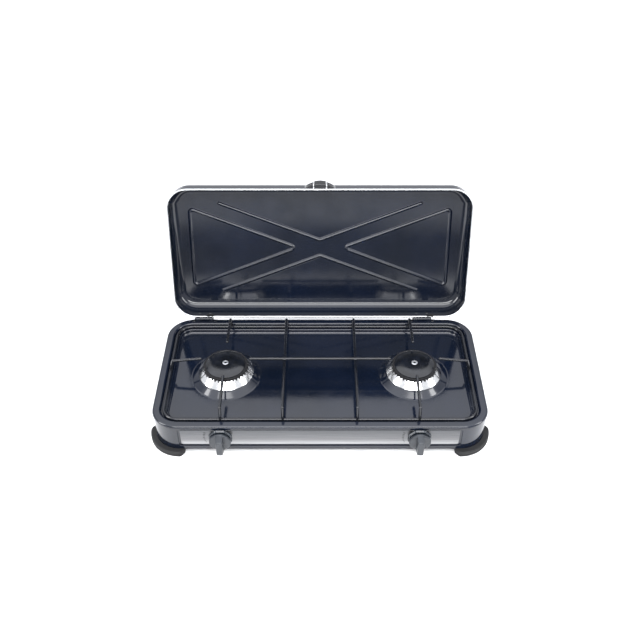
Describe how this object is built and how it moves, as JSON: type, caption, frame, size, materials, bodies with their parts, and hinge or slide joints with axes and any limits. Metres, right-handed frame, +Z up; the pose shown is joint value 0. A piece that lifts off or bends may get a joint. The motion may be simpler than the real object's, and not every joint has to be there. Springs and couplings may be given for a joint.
{
  "type": "camping stove",
  "caption": "Low two-burner gas camping stove with a pressed enamel hob tray, wire pan grid, front control knobs and a hinged lid that doubles as a windshield.",
  "frame": {"origin": "on the table, under the middle of the casing's rim outline", "axes": "+X right as the cook stands in front of the knobs, +Y back towards the lid's hinge, +Z up"},
  "size_m": [0.536, 0.3576, 0.2984],
  "materials": {
    "enamel": "glossy anthracite vitreous enamel on pressed steel",
    "enamel_lid": "glossy dark blue-grey vitreous enamel on pressed steel",
    "trim_steel": "brushed along its length",
    "print_black": "screen-printed ink",
    "zinc_steel": "bright zinc plate",
    "spring_steel": "drawn wire",
    "foot_rubber": "matt moulded",
    "black_enamel_wire": "satin black enamel",
    "brass": "machined",
    "handle_plastic": "moulded phenolic",
    "knob_plastic": "moulded phenolic with a fine spark texture",
    "polished_steel": "polished",
    "burner_aluminium": "die cast and machined",
    "black_enamel_cap": "gloss black vitreous enamel"
  },
  "bodies": {
    "root": {"casing": "enamel", "front_trim": "trim_steel", "scale_marks": "print_black", "hob_tray": "enamel", "base_straps": "zinc_steel", "strap_screws": "zinc_steel", "foot_front_left": "foot_rubber", "foot_front_right": "foot_rubber", "foot_rear_left": "foot_rubber", "foot_rear_right": "foot_rubber", "foot_screws": "zinc_steel", "manifold_rail": "zinc_steel", "supply_tube": "zinc_steel", "inlet_nipple": "brass", "inlet_nut": "zinc_steel", "pipe_clips": "zinc_steel", "tap_body_left": "brass", "tap_body_right": "brass", "tap_nut_left": "brass", "tap_nut_right": "brass", "knob_bezel_left": "knob_plastic", "knob_bezel_right": "knob_plastic", "injector_left": "brass", "injector_right": "brass", "mixer_tube_left": "zinc_steel", "mixer_tube_right": "zinc_steel", "burner_cup_left": "zinc_steel", "burner_cup_right": "zinc_steel", "burner_collar_left": "polished_steel", "burner_collar_right": "polished_steel", "flame_ring_left": "burner_aluminium", "flame_ring_right": "burner_aluminium", "burner_cap_left": "black_enamel_cap", "burner_cap_right": "black_enamel_cap", "cap_screw_left": "zinc_steel", "cap_screw_right": "zinc_steel", "hinge_bracket_left": "zinc_steel", "hinge_bracket_right": "zinc_steel", "bracket_rivets": "zinc_steel", "hinge_pin_left": "zinc_steel", "hinge_pin_right": "zinc_steel"},
    "plug_left": {"tap_plug_left": "brass"},
    "knob_left": {"knob_left": "knob_plastic", "tap_stem_left": "brass", "tap_spring_left": "spring_steel"},
    "plug_right": {"tap_plug_right": "brass"},
    "knob_right": {"knob_right": "knob_plastic", "tap_stem_right": "brass", "tap_spring_right": "spring_steel"},
    "lid": {"lid_shell": "enamel_lid", "lid_handle": "handle_plastic", "handle_screws": "zinc_steel", "lid_buffers": "foot_rubber", "hinge_leaf_left": "zinc_steel", "hinge_leaf_right": "zinc_steel", "leaf_rivets": "zinc_steel"},
    "pan_grid": {"grid_ring": "black_enamel_wire", "grid_bars": "black_enamel_wire", "grid_fingers": "black_enamel_wire"}
  },
  "joints": [
    {"name": "lid_hinge", "type": "hinge", "parent": "root", "child": "lid", "pos_m": [0, 0.1205, 0.064], "axis": [1, 0, 0], "range_deg": [0, 104.6]},
    {"name": "grid_lift", "type": "slide", "parent": "root", "child": "pan_grid", "axis": [0, 0, 1], "range_m": [0, 0.008]},
    {"name": "knob_left_turn", "type": "hinge", "parent": "root", "child": "plug_left", "pos_m": [-0.1524, -0.1, 0.0343], "axis": [0, -1, 0], "range_deg": [0, 180]},
    {"name": "knob_left_push", "type": "slide", "parent": "plug_left", "child": "knob_left", "axis": [0, 1, 0], "range_m": [0, 0.0025], "stiffness_N_per_m": 600},
    {"name": "knob_right_turn", "type": "hinge", "parent": "root", "child": "plug_right", "pos_m": [0.1524, -0.1, 0.0343], "axis": [0, -1, 0], "range_deg": [0, 180]},
    {"name": "knob_right_push", "type": "slide", "parent": "plug_right", "child": "knob_right", "axis": [0, 1, 0], "range_m": [0, 0.0025], "stiffness_N_per_m": 600}
  ]
}
